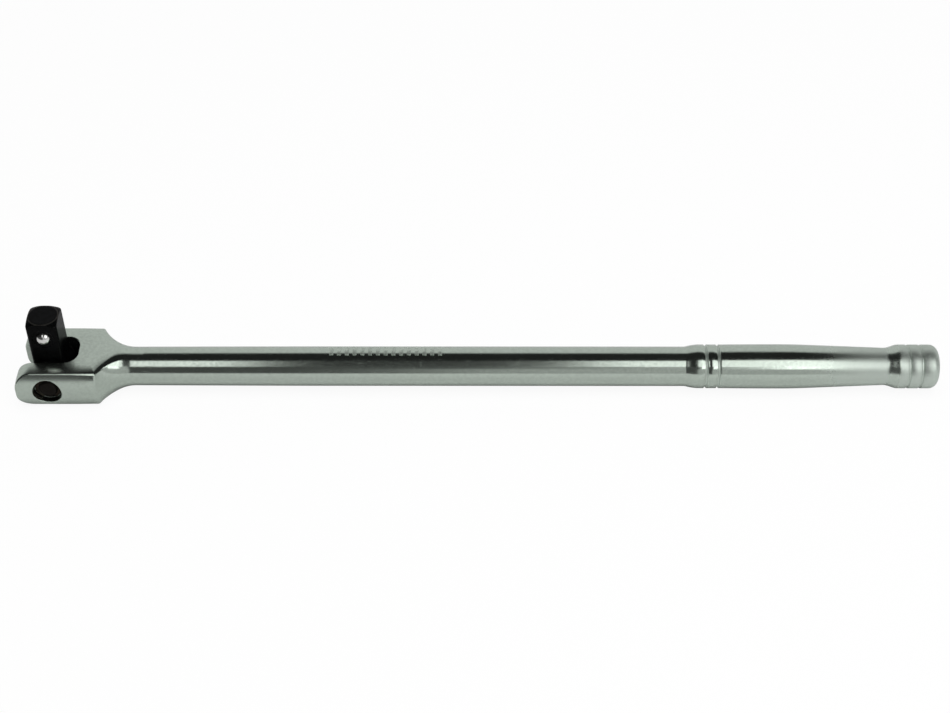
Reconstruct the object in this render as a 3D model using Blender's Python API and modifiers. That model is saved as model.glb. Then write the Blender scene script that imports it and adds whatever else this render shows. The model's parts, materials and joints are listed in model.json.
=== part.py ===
"""Hinge-handle breaker bar with a half-inch square drive.

The bar lies along X with its drive square standing up. +Z is up, and the
origin is on the bench under the middle of the bar. Lengths are in metres.
Distances along the bar are measured from the hinge axis, towards the grip.
"""
from math import asin, cos, pi, radians, sin, sqrt, tau

import bmesh
import bpy
from mathutils import Matrix

# Overall layout
OVERALL_LENGTH = 0.380
HINGE_FROM_FRONT = 0.0129       # the fork's front end to the hinge axis
FAR_END = OVERALL_LENGTH - HINGE_FROM_FRONT

# Fork head
HEAD_RADIUS = 0.01645
HEAD_THICKNESS = 0.0184         # across the two flats, as thick as the grip
FRONT_CORNER = 0.0068           # rounded front corners of the ears
SLOT_WIDTH = 0.0154
SLOT_END = 0.0117
SLOT_CORNER = 0.0055

# Neck and shaft
FLARE_RADIUS = 0.0161           # concave sweep from the head to the shaft
FLARE_END = 0.0343
NECK_RADIUS = 0.00803
SHAFT_RADIUS = 0.0082
SHAFT_FULL = 0.102

# Grip
GRIP_START = 0.2621
GRIP_STEP = 0.0060
GRIP_STEP_SKEW = 0.6            # under 1 the step rises early, over 1 late
GRIP_FRONT_RADIUS = 0.00908
GRIP_RADIUS = 0.0092
GRIP_FULL = 0.2925
TAPER_START = 0.3068
WAIST = 0.3444
WAIST_RADIUS = 0.00774
KNOB_START = 0.3505
KNOB_RADIUS = 0.0091
KNOB_STEP_SKEW = 1.15
END_CORNER = 0.0034
END_CROWN = 0.0003
FRONT_GROOVES = (0.2705, 0.2756)
KNOB_GROOVES = (0.3542, 0.3594)
GROOVE_WIDTH = 0.0013
GROOVE_FLOOR = 0.00043
GROOVE_DEPTH = 0.0005

# Hinge pin, its bores and its two retaining rings
PIN_RADIUS = 0.0040
PIN_LENGTH = 0.0287
PIN_CHAMFER = 0.0006
PIN_FIT = 0.00007               # radial clearance in the ears and the knuckle
COUNTERBORE_RADIUS = 0.0059
COUNTERBORE_FLOOR = 0.0125      # from the middle plane
RING_THICKNESS = 0.0008
RING_INNER = 0.00375
RING_OUTER = 0.0053
RING_GAP = radians(58)
RING_MIDDLE = 0.01305           # from the middle plane
RING_GROOVE_WIDTH = 0.0010
RING_GROOVE_RADIUS = 0.00365

# Drive tang
SQUARE = 0.0127
SQUARE_EDGE = 0.0015
LEAD_HEIGHT = 0.0021            # the square's end narrows over this height
LEAD_DEPTH = 0.00025
TANG_HEIGHT = 0.0282            # hinge axis to the end of the square
KNUCKLE_RADIUS = 0.0085
KNUCKLE_WIDTH = 0.0150
KNUCKLE_CHAMFER = 0.0013
TANG_END = (                    # turned end: radius, depth below the end
    (0.0061, 0.0),
    (0.0125, 0.0036),
)

# Socket detent in the square's near face
DETENT_RADIUS = 0.003175
DETENT_BELOW_END = 0.0078
DETENT_SUNK = 0.00167           # ball's centre below the face
DETENT_RECESS_RADIUS = 0.00435
DETENT_RECESS_DEPTH = 0.0004
DETENT_LIP_RADIUS = 0.0030
DETENT_LIP_DEPTH = 0.00055
DETENT_BORE_RADIUS = 0.00335
DETENT_BORE_SHOULDER = 0.0010
DETENT_BORE_DEPTH = 0.0113

# Friction ball and its blind bore, from the slot's end into the neck
FRICTION_RADIUS = 0.0030
FRICTION_GAP = 0.0001           # ball to knuckle
FRICTION_BORE_RADIUS = 0.00315
FRICTION_BORE_END = 0.0270

# Springs
WIRE_RADIUS = 0.00035
DETENT_COIL_RADIUS = 0.0023
FRICTION_COIL_RADIUS = 0.0022
SPRING_CLEARANCE = 0.00005
DETENT_TURNS = 4
FRICTION_TURNS = 7

# Facets
HANDLE_STEPS = 48
ROUND_STEPS = 48
SMALL_STEPS = 32
COIL_STEPS = 10                 # points in a turn
FLARE_STEPS = 12
CORNER_STEPS = 7
STEP_UP_STEPS = 7
RING_STEPS = 28

HALF_HEAD = HEAD_THICKNESS / 2
HALF_SQUARE = SQUARE / 2
HINGE_X = HINGE_FROM_FRONT - OVERALL_LENGTH / 2
HINGE_Z = GRIP_RADIUS           # the grip and the head's flat both rest on the bench
DETENT_Z = TANG_HEIGHT - DETENT_BELOW_END
FRICTION_X = KNUCKLE_RADIUS + FRICTION_GAP + FRICTION_RADIUS

CUTTER_REACH = 2 * HEAD_RADIUS  # far enough to pass right through any part

ALONG_X = (0.0, pi / 2, 0.0)    # turns a part's own Z axis to the bar's X
ALONG_Y = (-pi / 2, 0.0, 0.0)   # turns a part's own Z axis to Y
UPRIGHT = (0.0, 0.0, 0.0)


# ---------------------------------------------------------------- helpers

def clear_scene():
    """Remove whatever the open file holds."""
    for item in list(bpy.data.objects):
        bpy.data.objects.remove(item, do_unlink=True)


def new_collection(name):
    """Return a new collection linked to the scene."""
    made = bpy.data.collections.new(name)
    bpy.context.scene.collection.children.link(made)
    return made


def metal(name, color, metallic, roughness):
    """Return a plain metal material."""
    made = bpy.data.materials.new(name)
    made.use_nodes = True
    shader = made.node_tree.nodes["Principled BSDF"]
    shader.inputs["Base Color"].default_value = (*color, 1.0)
    shader.inputs["Metallic"].default_value = metallic
    shader.inputs["Roughness"].default_value = roughness
    return made


def place(name, data, group, parent, location=(0, 0, 0), rotation=UPRIGHT):
    """Put mesh or curve data in the scene as a named object."""
    item = bpy.data.objects.new(name, data)
    group.objects.link(item)
    item.parent = parent
    item.location = location
    item.rotation_euler = rotation
    return item


def finish_part(item, material):
    """Give a part its material, and smooth shading with sharp edges."""
    item.data.materials.append(material)
    if item.type == "MESH":
        item.data.shade_smooth()
        item.data.set_sharp_from_angle(angle=radians(30))


def hide_cutter(item):
    """Keep a cutter out of the picture."""
    item.hide_render = True
    item.display_type = "WIRE"


def mesh_from(bm, name):
    """Turn a bmesh into mesh data with outward normals."""
    bmesh.ops.recalc_face_normals(bm, faces=bm.faces)
    data = bpy.data.meshes.new(name)
    bm.to_mesh(data)
    bm.free()
    return data


def turned(name, outline, steps, group, parent, location=(0, 0, 0), rotation=UPRIGHT):
    """Turn an outline of (radius, height) points, top to bottom, round its own Z axis."""
    bm = bmesh.new()
    points = [bm.verts.new((radius, 0.0, height)) for radius, height in outline]
    for upper, lower in zip(points, points[1:]):
        bm.edges.new((upper, lower))
    data = bpy.data.meshes.new(name)
    bm.to_mesh(data)
    bm.free()
    item = place(name, data, group, parent, location, rotation)
    screw = item.modifiers.new("turn", "SCREW")
    screw.axis = "Z"
    screw.angle = tau
    screw.steps = steps
    screw.render_steps = steps
    screw.use_merge_vertices = True
    screw.merge_threshold = 0.00001
    screw.use_smooth_shade = True
    return item


def plate(name, outline, thickness, normal_to, group, parent, location=(0, 0, 0)):
    """Extrude a flat outline of (u, v) points, centred on its plane.

    The outline lies in XZ when normal_to is "Y", and in XY when it is "Z".
    """
    bm = bmesh.new()
    half = thickness / 2
    if normal_to == "Y":
        corners = [bm.verts.new((u, -half, v)) for u, v in outline]
        travel = (0.0, thickness, 0.0)
    else:
        corners = [bm.verts.new((u, v, -half)) for u, v in outline]
        travel = (0.0, 0.0, thickness)
    face = bm.faces.new(corners)
    raised = bmesh.ops.extrude_face_region(bm, geom=[face])["geom"]
    moved = [part for part in raised if isinstance(part, bmesh.types.BMVert)]
    bmesh.ops.translate(bm, verts=moved, vec=travel)
    return place(name, mesh_from(bm, name), group, parent, location)


def ball(name, radius, group, parent, location):
    """Add a ball."""
    bm = bmesh.new()
    bmesh.ops.create_uvsphere(bm, u_segments=24, v_segments=16, radius=radius)
    return place(name, mesh_from(bm, name), group, parent, location)


def spring(name, coil_radius, length, turns, group, parent, location, rotation):
    """Add a coil spring that rises along its own Z axis from its location."""
    count = turns * COIL_STEPS
    data = bpy.data.curves.new(name, "CURVE")
    data.dimensions = "3D"
    data.bevel_depth = WIRE_RADIUS
    data.bevel_resolution = 2
    data.use_fill_caps = True
    wire = data.splines.new("POLY")
    wire.points.add(count)
    for index, point in enumerate(wire.points):
        angle = tau * index / COIL_STEPS
        height = length * index / count
        point.co = (coil_radius * cos(angle), coil_radius * sin(angle), height, 1.0)
    return place(name, data, group, parent, location, rotation)


def boolean(item, cutter, operation):
    """Cut, join or trim a part with another shape."""
    step = item.modifiers.new(cutter.name, "BOOLEAN")
    step.object = cutter
    step.operation = operation
    step.solver = "EXACT"
    hide_cutter(cutter)


def arc(center_u, center_v, radius, start, stop, count):
    """Return count + 1 points on an arc, with its angles in radians."""
    angles = [start + (stop - start) * step / count for step in range(count + 1)]
    return [(center_u + radius * cos(a), center_v + radius * sin(a)) for a in angles]


def swelling(start, start_radius, stop, stop_radius, skew):
    """Return a smooth S-shaped change of radius, without its first point."""
    points = []
    for step in range(1, STEP_UP_STEPS + 1):
        share = step / STEP_UP_STEPS
        eased = share ** skew
        blend = eased * eased * (3 - 2 * eased)
        distance = start + (stop - start) * share
        points.append((distance, start_radius + (stop_radius - start_radius) * blend))
    return points


def groove(middle, radius):
    """Return a shallow turned groove in a surface of the given radius."""
    half = GROOVE_WIDTH / 2
    floor = GROOVE_FLOOR / 2
    return [
        (middle - half, radius),
        (middle - floor, radius - GROOVE_DEPTH),
        (middle + floor, radius - GROOVE_DEPTH),
        (middle + half, radius),
    ]


# ----------------------------------------------------------------- handle

def handle_outline():
    """Return the handle's turned outline as (distance, radius), front to back."""
    sweep_center = NECK_RADIUS + FLARE_RADIUS
    rim_angle = asin((HEAD_RADIUS - sweep_center) / FLARE_RADIUS)
    points = [(-HINGE_FROM_FRONT, 0.0), (-HINGE_FROM_FRONT, HEAD_RADIUS)]
    points += arc(FLARE_END, sweep_center, FLARE_RADIUS, pi - rim_angle, 1.5 * pi, FLARE_STEPS)
    points += [(SHAFT_FULL, SHAFT_RADIUS), (GRIP_START, SHAFT_RADIUS)]
    grip_front = GRIP_START + GRIP_STEP
    points += swelling(GRIP_START, SHAFT_RADIUS, grip_front, GRIP_FRONT_RADIUS, GRIP_STEP_SKEW)
    for middle in FRONT_GROOVES:
        points += groove(middle, GRIP_FRONT_RADIUS)
    points += [(GRIP_FULL, GRIP_RADIUS), (TAPER_START, GRIP_RADIUS), (WAIST, WAIST_RADIUS)]
    points += swelling(WAIST, WAIST_RADIUS, KNOB_START, KNOB_RADIUS, KNOB_STEP_SKEW)
    for middle in KNOB_GROOVES:
        points += groove(middle, KNOB_RADIUS)
    corner_start = FAR_END - END_CROWN - END_CORNER
    points += arc(
        corner_start, KNOB_RADIUS - END_CORNER, END_CORNER, pi / 2, 0.0, CORNER_STEPS)
    points.append((FAR_END, 0.0))
    return points


def fork_side_outline():
    """Return the fork's outline from the side: flats and rounded front corners."""
    back = SHAFT_FULL
    clear = HEAD_RADIUS + FRONT_CORNER
    corner_x = FRONT_CORNER - HINGE_FROM_FRONT
    corner_z = HALF_HEAD - FRONT_CORNER
    top = arc(corner_x, corner_z, FRONT_CORNER, pi, pi / 2, CORNER_STEPS)
    top += [(back, HALF_HEAD), (back, clear), (FAR_END + clear, clear)]
    bottom = [(x, -z) for x, z in reversed(top)]
    return top + bottom


def slot_outline():
    """Return the fork slot's outline from above: open at the front, rounded at its end."""
    half = SLOT_WIDTH / 2
    front = -2 * HINGE_FROM_FRONT
    corner_x = SLOT_END - SLOT_CORNER
    left = [(front, half)]
    left += arc(corner_x, half - SLOT_CORNER, SLOT_CORNER, pi / 2, 0.0, CORNER_STEPS)
    right = [(x, -y) for x, y in reversed(left)]
    return left + right


def hinge_bore_outline():
    """Return the stepped bore through both ears as (radius, height), top to bottom."""
    fit = PIN_RADIUS + PIN_FIT
    top = [
        (0.0, CUTTER_REACH),
        (COUNTERBORE_RADIUS, CUTTER_REACH),
        (COUNTERBORE_RADIUS, COUNTERBORE_FLOOR),
        (fit, COUNTERBORE_FLOOR),
    ]
    return top + [(radius, -height) for radius, height in reversed(top)]


def bore_outline(radius, top, bottom):
    """Return a plain bore as (radius, height), top to bottom."""
    return [(0.0, top), (radius, top), (radius, bottom), (0.0, bottom)]


def build_handle(parts, cutters, hinge, chrome):
    """Build the forged handle: fork, neck, shaft, grip and end knob."""
    outline = [(radius, distance) for distance, radius in reversed(handle_outline())]
    handle = turned("handle", outline, HANDLE_STEPS, parts, hinge, rotation=ALONG_X)
    side = plate("fork_side", fork_side_outline(), 2 * CUTTER_REACH, "Y", cutters, hinge)
    slot = plate("fork_slot", slot_outline(), 2 * CUTTER_REACH, "Z", cutters, hinge)
    bore = turned("hinge_bore", hinge_bore_outline(), ROUND_STEPS, cutters, hinge, rotation=ALONG_Y)
    pocket = turned(
        "friction_bore", bore_outline(FRICTION_BORE_RADIUS, FRICTION_BORE_END, 0.0),
        SMALL_STEPS, cutters, hinge, rotation=ALONG_X)
    boolean(handle, side, "INTERSECT")
    boolean(handle, slot, "DIFFERENCE")
    boolean(handle, bore, "DIFFERENCE")
    boolean(handle, pocket, "DIFFERENCE")
    finish_part(handle, chrome)


# ------------------------------------------------------------- hinge hardware

def pin_outline():
    """Return the pin's outline with a ring groove near each end, top to bottom."""
    end = PIN_LENGTH / 2
    groove_top = RING_MIDDLE + RING_GROOVE_WIDTH / 2
    groove_bottom = RING_MIDDLE - RING_GROOVE_WIDTH / 2
    top = [
        (0.0, end),
        (PIN_RADIUS - PIN_CHAMFER, end),
        (PIN_RADIUS, end - PIN_CHAMFER),
        (PIN_RADIUS, groove_top),
        (RING_GROOVE_RADIUS, groove_top),
        (RING_GROOVE_RADIUS, groove_bottom),
        (PIN_RADIUS, groove_bottom),
    ]
    return top + [(radius, -height) for radius, height in reversed(top)]


def ring_outline():
    """Return a retaining ring's outline: an open ring with its gap downwards."""
    start = -pi / 2 + RING_GAP / 2
    stop = 1.5 * pi - RING_GAP / 2
    outer = arc(0.0, 0.0, RING_OUTER, start, stop, RING_STEPS)
    inner = arc(0.0, 0.0, RING_INNER, stop, start, RING_STEPS)
    return outer + inner


def build_hinge_hardware(parts, hinge, dark_steel, spring_steel):
    """Build the hinge pin and the retaining ring on each of its ends."""
    pin = turned("hinge_pin", pin_outline(), ROUND_STEPS, parts, hinge, rotation=ALONG_Y)
    finish_part(pin, dark_steel)
    for name, side in (("retaining_ring_near", -1), ("retaining_ring_far", 1)):
        spot = (0.0, side * RING_MIDDLE, 0.0)
        ring = plate(name, ring_outline(), RING_THICKNESS, "Y", parts, hinge, spot)
        finish_part(ring, spring_steel)


# -------------------------------------------------------------- drive tang

def square_shank(parts, hinge):
    """Return the square drive, from the hinge axis up, with a lead-in and eased upright edges."""
    bm = bmesh.new()
    bmesh.ops.create_cube(bm, size=1.0)
    height = TANG_HEIGHT - LEAD_HEIGHT
    size = Matrix.Diagonal((SQUARE, SQUARE, height, 1.0))
    rise = Matrix.Translation((0.0, 0.0, height / 2))
    bmesh.ops.transform(bm, matrix=rise @ size, verts=bm.verts)
    top = max(bm.faces, key=lambda face: face.calc_center_median().z)
    raised = bmesh.ops.extrude_face_region(bm, geom=[top])["geom"]
    bmesh.ops.delete(bm, geom=[top], context="FACES_ONLY")
    tip = [part for part in raised if isinstance(part, bmesh.types.BMVert)]
    bmesh.ops.translate(bm, verts=tip, vec=(0.0, 0.0, LEAD_HEIGHT))
    narrowed = 1 - 2 * LEAD_DEPTH / SQUARE
    bmesh.ops.scale(bm, verts=tip, vec=(narrowed, narrowed, 1.0))
    upright = [
        edge for edge in bm.edges
        if abs(edge.verts[0].co.z - edge.verts[1].co.z) > LEAD_HEIGHT / 2]
    bmesh.ops.bevel(
        bm, geom=upright, offset=SQUARE_EDGE, offset_type="OFFSET", affect="EDGES",
        segments=3, profile=0.5, material=-1)
    return place("drive_tang", mesh_from(bm, "drive_tang"), parts, hinge)


def tang_envelope_outline():
    """Return the turned outline that trims the square's end, top to bottom."""
    shoulder = [(radius, TANG_HEIGHT - depth) for radius, depth in TANG_END]
    widest = TANG_END[-1][0]
    foot = -2 * KNUCKLE_RADIUS
    return [(0.0, TANG_HEIGHT)] + shoulder + [(widest, foot), (0.0, foot)]


def knuckle_outline():
    """Return the knuckle's outline with its chamfered rims, top to bottom."""
    half = KNUCKLE_WIDTH / 2
    top = [
        (0.0, half),
        (KNUCKLE_RADIUS - KNUCKLE_CHAMFER, half),
        (KNUCKLE_RADIUS, half - KNUCKLE_CHAMFER),
    ]
    return top + [(radius, -height) for radius, height in reversed(top)]


def detent_bore_outline():
    """Return the ball's bore with its staked recess, from its floor out to the face."""
    steps = [
        (0.0, DETENT_BORE_DEPTH),
        (DETENT_BORE_RADIUS, DETENT_BORE_DEPTH),
        (DETENT_BORE_RADIUS, DETENT_BORE_SHOULDER),
        (DETENT_LIP_RADIUS, DETENT_LIP_DEPTH),
        (DETENT_LIP_RADIUS, DETENT_RECESS_DEPTH),
        (DETENT_RECESS_RADIUS, DETENT_RECESS_DEPTH),
        (DETENT_RECESS_RADIUS, -DETENT_RADIUS),
        (0.0, -DETENT_RADIUS),
    ]
    return [(radius, depth - HALF_SQUARE) for radius, depth in steps]


def build_tang(parts, cutters, hinge, black_steel):
    """Build the drive tang: knuckle and square, with the pin's bore and the detent's."""
    tang = square_shank(parts, hinge)
    knuckle = turned("knuckle", knuckle_outline(), ROUND_STEPS, cutters, hinge, rotation=ALONG_Y)
    envelope = turned("tang_end", tang_envelope_outline(), ROUND_STEPS, cutters, hinge)
    pin_bore = turned(
        "knuckle_bore", bore_outline(PIN_RADIUS + PIN_FIT, CUTTER_REACH, -CUTTER_REACH),
        ROUND_STEPS, cutters, hinge, rotation=ALONG_Y)
    detent_bore = turned(
        "detent_bore", detent_bore_outline(), SMALL_STEPS, cutters, hinge,
        (0.0, 0.0, DETENT_Z), ALONG_Y)
    boolean(tang, knuckle, "UNION")
    boolean(tang, envelope, "INTERSECT")
    boolean(tang, pin_bore, "DIFFERENCE")
    boolean(tang, detent_bore, "DIFFERENCE")
    finish_part(tang, black_steel)
    return tang


def spring_start(ball_radius, coil_radius):
    """Return how far behind a ball's centre its spring's first turn sits."""
    reach = ball_radius + WIRE_RADIUS + SPRING_CLEARANCE
    return sqrt(reach * reach - coil_radius * coil_radius)


def build_detent(parts, tang, bright_steel, spring_steel):
    """Build the socket detent: a ball in the square's near face, and its spring."""
    ball_y = DETENT_SUNK - HALF_SQUARE
    detent = ball("detent_ball", DETENT_RADIUS, parts, tang, (0.0, ball_y, DETENT_Z))
    finish_part(detent, bright_steel)
    coil_y = ball_y + spring_start(DETENT_RADIUS, DETENT_COIL_RADIUS)
    floor_y = DETENT_BORE_DEPTH - HALF_SQUARE - WIRE_RADIUS - SPRING_CLEARANCE
    coil = spring(
        "detent_spring", DETENT_COIL_RADIUS, floor_y - coil_y, DETENT_TURNS, parts, tang,
        (0.0, coil_y, DETENT_Z), ALONG_Y)
    finish_part(coil, spring_steel)


def build_friction(parts, hinge, bright_steel, spring_steel):
    """Build the ball and spring that press on the knuckle from the neck."""
    friction = ball("friction_ball", FRICTION_RADIUS, parts, hinge, (FRICTION_X, 0.0, 0.0))
    finish_part(friction, bright_steel)
    coil_x = FRICTION_X + spring_start(FRICTION_RADIUS, FRICTION_COIL_RADIUS)
    floor_x = FRICTION_BORE_END - WIRE_RADIUS - SPRING_CLEARANCE
    coil = spring(
        "friction_spring", FRICTION_COIL_RADIUS, floor_x - coil_x, FRICTION_TURNS, parts, hinge,
        (coil_x, 0.0, 0.0), ALONG_X)
    finish_part(coil, spring_steel)


def main():
    """Build the whole breaker bar."""
    clear_scene()
    parts = new_collection("breaker_bar")
    cutters = new_collection("cutters")
    chrome = metal("satin_chrome", (0.72, 0.74, 0.72), 1.0, 0.22)
    black_steel = metal("black_phosphate", (0.035, 0.038, 0.038), 0.8, 0.42)
    dark_steel = metal("dark_pin_steel", (0.10, 0.09, 0.085), 0.9, 0.40)
    spring_steel = metal("spring_steel", (0.22, 0.20, 0.18), 0.9, 0.35)
    bright_steel = metal("bright_ball_steel", (0.80, 0.80, 0.80), 1.0, 0.10)

    hinge = place("hinge_axis", None, parts, None, (HINGE_X, 0.0, HINGE_Z))
    build_handle(parts, cutters, hinge, chrome)
    build_hinge_hardware(parts, hinge, dark_steel, spring_steel)
    tang = build_tang(parts, cutters, hinge, black_steel)
    build_detent(parts, tang, bright_steel, spring_steel)
    build_friction(parts, hinge, bright_steel, spring_steel)


main()
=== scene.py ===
"""Looks of a half-inch hinge-handle breaker bar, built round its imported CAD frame.

The fork head and the drive tang are carved from their CAD solids: each copy is remeshed finely and
drawn onto the same surfaces with rounded edges. The shaft, grip, pin, rings, balls and springs are
turned, spun or extruded. Lengths are in metres, and a part's own sizes are measured from the hinge
axis, with X along the bar towards the grip and Z up.
"""

import json
import logging
from collections.abc import Callable, Sequence
from dataclasses import dataclass
from enum import Enum
from math import cos, hypot, pi, radians, sin, sqrt, tan, tau

import bmesh
import bpy
import numpy as np
from bpy.types import Material, Mesh, Node, NodeSocket, NodeTree, Object
from mathutils import Matrix, Vector


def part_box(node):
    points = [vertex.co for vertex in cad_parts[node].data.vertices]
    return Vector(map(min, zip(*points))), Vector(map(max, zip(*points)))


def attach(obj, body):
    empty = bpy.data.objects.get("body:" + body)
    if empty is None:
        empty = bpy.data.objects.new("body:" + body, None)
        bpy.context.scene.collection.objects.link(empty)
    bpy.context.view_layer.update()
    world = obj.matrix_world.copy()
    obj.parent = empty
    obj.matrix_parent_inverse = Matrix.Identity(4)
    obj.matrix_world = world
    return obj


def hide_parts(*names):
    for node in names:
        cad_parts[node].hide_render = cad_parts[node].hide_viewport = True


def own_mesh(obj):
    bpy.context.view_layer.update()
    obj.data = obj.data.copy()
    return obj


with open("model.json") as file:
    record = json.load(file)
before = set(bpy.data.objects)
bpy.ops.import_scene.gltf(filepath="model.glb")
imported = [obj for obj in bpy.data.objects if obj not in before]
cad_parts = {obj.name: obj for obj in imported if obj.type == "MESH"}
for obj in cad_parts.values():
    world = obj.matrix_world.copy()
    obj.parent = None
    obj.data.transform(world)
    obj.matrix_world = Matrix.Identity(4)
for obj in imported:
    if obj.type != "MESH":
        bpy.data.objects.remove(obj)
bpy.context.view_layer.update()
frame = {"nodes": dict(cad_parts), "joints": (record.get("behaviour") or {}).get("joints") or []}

LOG = logging.getLogger("breaker_bar")
HINGE = Vector(frame["joints"][0]["pos_m"])
EDGE = "edge"                   # attribute: 0 on a face, 1 in the middle of a rounded edge
WELD = 1e-6                     # vertices nearer than this are one
WHITE = (1.0, 1.0, 1.0, 1.0)

Points = np.ndarray
Values = np.ndarray
Field = Callable[..., Values]   # takes places from the hinge axis, and how far edges are rounded
Outline = list[tuple[float, float]]
Color = tuple[float, float, float]


class Axis(Enum):
    """A direction that a turned part's own axis can take."""

    ALONG_BAR = Vector((1.0, 0.0, 0.0))
    ACROSS_FORK = Vector((0.0, 1.0, 0.0))


class Slot(Enum):
    """The record's material slots."""

    CHROME = "satin_chrome"
    BLACK = "black_phosphate"
    PIN = "dark_pin_steel"
    SPRING = "spring_steel"
    BALL = "bright_ball_steel"


# ------------------------------------------------------------ distance fields

def round_off(one: Values, other: Values, radius: float | Values) -> Values:
    """Intersect two distance fields and round the outer edge where they meet.

    Args:
        one: Distances to the first solid, negative inside.
        other: Distances to the second solid.
        radius: The edge's radius.

    Returns:
        Distances to the solid that both share.
    """
    beyond = np.hypot(np.maximum(one + radius, 0.0), np.maximum(other + radius, 0.0))
    return np.minimum(np.maximum(one, other), -radius) + beyond


def rounded_slab(across: Values, along: Values, corner: float) -> Values:
    """Return distances to a quarter plane whose corner is rounded.

    Args:
        across: Distances past the corner's centre in one direction.
        along: Distances past the corner's centre in the other.
        corner: The corner's radius.

    Returns:
        Distances, negative inside.
    """
    inside = np.minimum(np.maximum(across, along), 0.0)
    return inside + np.hypot(np.maximum(across, 0.0), np.maximum(along, 0.0)) - corner


def gradient(distance: Field, points: Points) -> Points:
    """Return a field's slope at each point, by central differences."""
    reach = 2e-5
    steps = np.eye(3) * reach
    slopes = [(distance(points + step) - distance(points - step)) / (2 * reach) for step in steps]
    return np.stack(slopes, axis=1)


def draw_onto(distance: Field, points: Points, rounds: int = 6) -> Points:
    """Move points onto the surface where a field is zero.

    Args:
        distance: The field.
        points: The points, one to a row.
        rounds: How often each point is moved.

    Returns:
        The moved points.
    """
    longest = 4e-4
    least_steep = 0.25
    least_length = 1e-12
    moved = points.copy()
    for _ in range(rounds):
        slope = gradient(distance, moved)
        steep = np.maximum((slope * slope).sum(axis=1), least_steep)
        step = slope * (distance(moved) / steep)[:, None]
        length = np.maximum(np.linalg.norm(step, axis=1), least_length)
        moved -= step * np.minimum(1.0, longest / length)[:, None]
    return moved


# ------------------------------------------------------------- mesh helpers

def as_mesh(work: bmesh.types.BMesh, name: str) -> Mesh:
    """Write a bmesh to a new mesh and free it."""
    mesh = bpy.data.meshes.new(name)
    work.to_mesh(mesh)
    work.free()
    return mesh


def in_scene(name: str, data: bpy.types.ID) -> Object:
    """Put a new object with this data in the scene."""
    made = bpy.data.objects.new(name, data)
    bpy.context.scene.collection.objects.link(made)
    return made


def vertex_points(mesh: Mesh | bmesh.types.BMesh) -> Points:
    """Return a mesh's vertex places, measured from the hinge axis."""
    vertices = mesh.vertices if isinstance(mesh, Mesh) else mesh.verts
    return np.array([vertex.co - HINGE for vertex in vertices], float)


def put_points(work: bmesh.types.BMesh, points: Points) -> None:
    """Give a bmesh's vertices new places, measured from the hinge axis."""
    for vertex, point in zip(work.verts, points):
        vertex.co = Vector(point) + HINGE


def merged_copy(node: Object) -> bmesh.types.BMesh:
    """Return a CAD node's triangles as one welded bmesh."""
    work = bmesh.new()
    work.from_mesh(node.data)
    bmesh.ops.remove_doubles(work, verts=work.verts, dist=2 * WELD)
    return work


def remeshed(work: bmesh.types.BMesh, pitch: float) -> bmesh.types.BMesh:
    """Return an even, fine skin over a closed bmesh, which is freed.

    Args:
        work: The closed bmesh.
        pitch: The skin's spacing.

    Returns:
        A new bmesh.
    """
    blank = in_scene("blank", as_mesh(work, "blank"))
    skin = blank.modifiers.new("skin", "REMESH")
    skin.mode = "VOXEL"
    skin.voxel_size = pitch
    shaped = blank.evaluated_get(bpy.context.evaluated_depsgraph_get())
    fine = bmesh.new()
    fine.from_mesh(shaped.to_mesh())
    shaped.to_mesh_clear()
    bpy.data.objects.remove(blank, do_unlink=True)
    return fine


def carve(node: Object, distance: Field, pitch: float, trim: float | None = None) -> bmesh.types.BMesh:
    """Remesh a CAD node's copy and draw it onto a rounded field.

    Args:
        node: The CAD node.
        distance: The rounded solid's field, from the hinge axis.
        pitch: The mesh's spacing.
        trim: Where the copy is cut off along the bar and left open, if it is.

    Returns:
        The carved bmesh.
    """
    passes = 3
    last_rounds = 10
    work = merged_copy(node)
    if trim is not None:
        spare = 4 * pitch
        trim_at(work, trim + spare)
        bmesh.ops.holes_fill(work, edges=work.edges, sides=0)
    fine = remeshed(work, pitch)
    for _ in range(passes):
        put_points(fine, draw_onto(distance, vertex_points(fine)))
        bmesh.ops.smooth_vert(
            fine, verts=fine.verts, factor=0.5, use_axis_x=True, use_axis_y=True, use_axis_z=True)
    if trim is not None:
        trim_at(fine, trim)
    put_points(fine, draw_onto(distance, vertex_points(fine), last_rounds))
    return fine


def trim_at(work: bmesh.types.BMesh, distance: float) -> None:
    """Cut away what lies further along the bar than a distance."""
    bmesh.ops.bisect_plane(
        work, geom=[*work.verts, *work.edges, *work.faces], dist=1e-7,
        plane_co=HINGE + Vector((distance, 0.0, 0.0)), plane_no=Axis.ALONG_BAR.value, clear_outer=True)


def spun(outline: Outline, axis: Axis, steps: int, middle: Vector = HINGE) -> bmesh.types.BMesh:
    """Turn an outline of (distance along the axis, radius) points round a part's axis.

    Args:
        outline: The points, in order.
        axis: The axis' direction.
        steps: Facets in the full turn.
        middle: The point on the axis that distances are measured from.

    Returns:
        The turned bmesh, with outward normals.
    """
    work = bmesh.new()
    side = Vector((0.0, 0.0, 1.0))
    points = [work.verts.new(middle + axis.value * along + side * radius) for along, radius in outline]
    for one, other in zip(points, points[1:]):
        work.edges.new((one, other))
    bmesh.ops.spin(
        work, geom=[*work.verts, *work.edges], cent=middle, axis=axis.value, angle=tau,
        steps=steps, use_merge=True)
    bmesh.ops.remove_doubles(work, verts=work.verts, dist=WELD)
    bmesh.ops.recalc_face_normals(work, faces=work.faces)
    return work


def arc(middle: tuple[float, float], radius: float, start: float, stop: float, count: int) -> Outline:
    """Return points along an arc.

    Args:
        middle: The arc's centre.
        radius: Its radius.
        start: Its first angle in radians.
        stop: Its last angle.
        count: How many stretches it has.

    Returns:
        count + 1 points.
    """
    angles = [start + (stop - start) * step / count for step in range(count + 1)]
    return [(middle[0] + radius * cos(turn), middle[1] + radius * sin(turn)) for turn in angles]


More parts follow.
